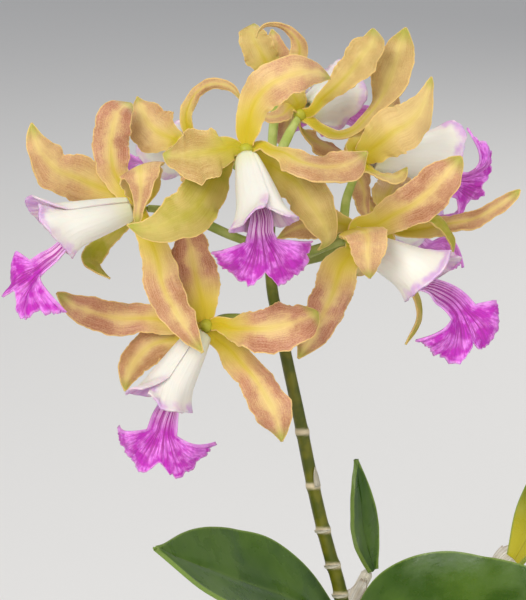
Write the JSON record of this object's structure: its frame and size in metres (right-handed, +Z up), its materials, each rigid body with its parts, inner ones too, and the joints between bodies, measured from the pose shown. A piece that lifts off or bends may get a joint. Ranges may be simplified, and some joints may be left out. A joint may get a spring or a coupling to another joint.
{
  "type": "potted cattleya orchid",
  "caption": "Potted cattleya orchid in flower: bronze and yellow waved petals, white rolled lips with magenta lobes, strap leaves, plain clay pot.",
  "frame": {"origin": "centre of the pot's foot, on the surface it stands on", "axes": "+Z up; the spray faces -Y, with +X to a viewer's right"},
  "size_m": [0.3207, 0.219, 0.49],
  "materials": {
    "clay": "matte",
    "bark": "matte",
    "cane": "satin",
    "leaf": "satin",
    "stem": "satin",
    "petal": "matte",
    "lip": "matte",
    "lip_lobe": "matte",
    "column": "matte"
  },
  "bodies": {
    "root": {"pot": "clay", "bark": "bark", "cane_lead": "cane", "cane_young": "cane", "cane_side": "cane", "cane_old": "cane", "cane_back": "cane", "leaf_left": "leaf", "leaf_right": "leaf", "leaf_young": "leaf", "leaf_side_up": "leaf", "leaf_side_out": "leaf", "leaf_old_out": "leaf", "leaf_back_out": "leaf", "flower_stem": "stem", "centre_bloom_petals": "petal", "centre_bloom_lip": "lip", "centre_bloom_lip_lobe": "lip_lobe", "centre_bloom_column": "column", "left_bloom_petals": "petal", "left_bloom_lip": "lip", "left_bloom_lip_lobe": "lip_lobe", "left_bloom_column": "column", "low_bloom_petals": "petal", "low_bloom_lip": "lip", "low_bloom_lip_lobe": "lip_lobe", "low_bloom_column": "column", "right_bloom_petals": "petal", "right_bloom_lip": "lip", "right_bloom_lip_lobe": "lip_lobe", "right_bloom_column": "column", "upper_right_bloom_petals": "petal", "upper_right_bloom_lip": "lip", "upper_right_bloom_lip_lobe": "lip_lobe", "upper_right_bloom_column": "column", "top_bloom_petals": "petal", "top_bloom_lip": "lip", "top_bloom_lip_lobe": "lip_lobe", "top_bloom_column": "column", "top_back_bloom_petals": "petal", "top_back_bloom_lip": "lip", "top_back_bloom_lip_lobe": "lip_lobe", "top_back_bloom_column": "column", "right_back_bloom_petals": "petal", "right_back_bloom_lip": "lip", "right_back_bloom_lip_lobe": "lip_lobe", "right_back_bloom_column": "column", "left_back_bloom_petals": "petal", "left_back_bloom_lip": "lip", "left_back_bloom_lip_lobe": "lip_lobe", "left_back_bloom_column": "column"}
  },
  "joints": []
}
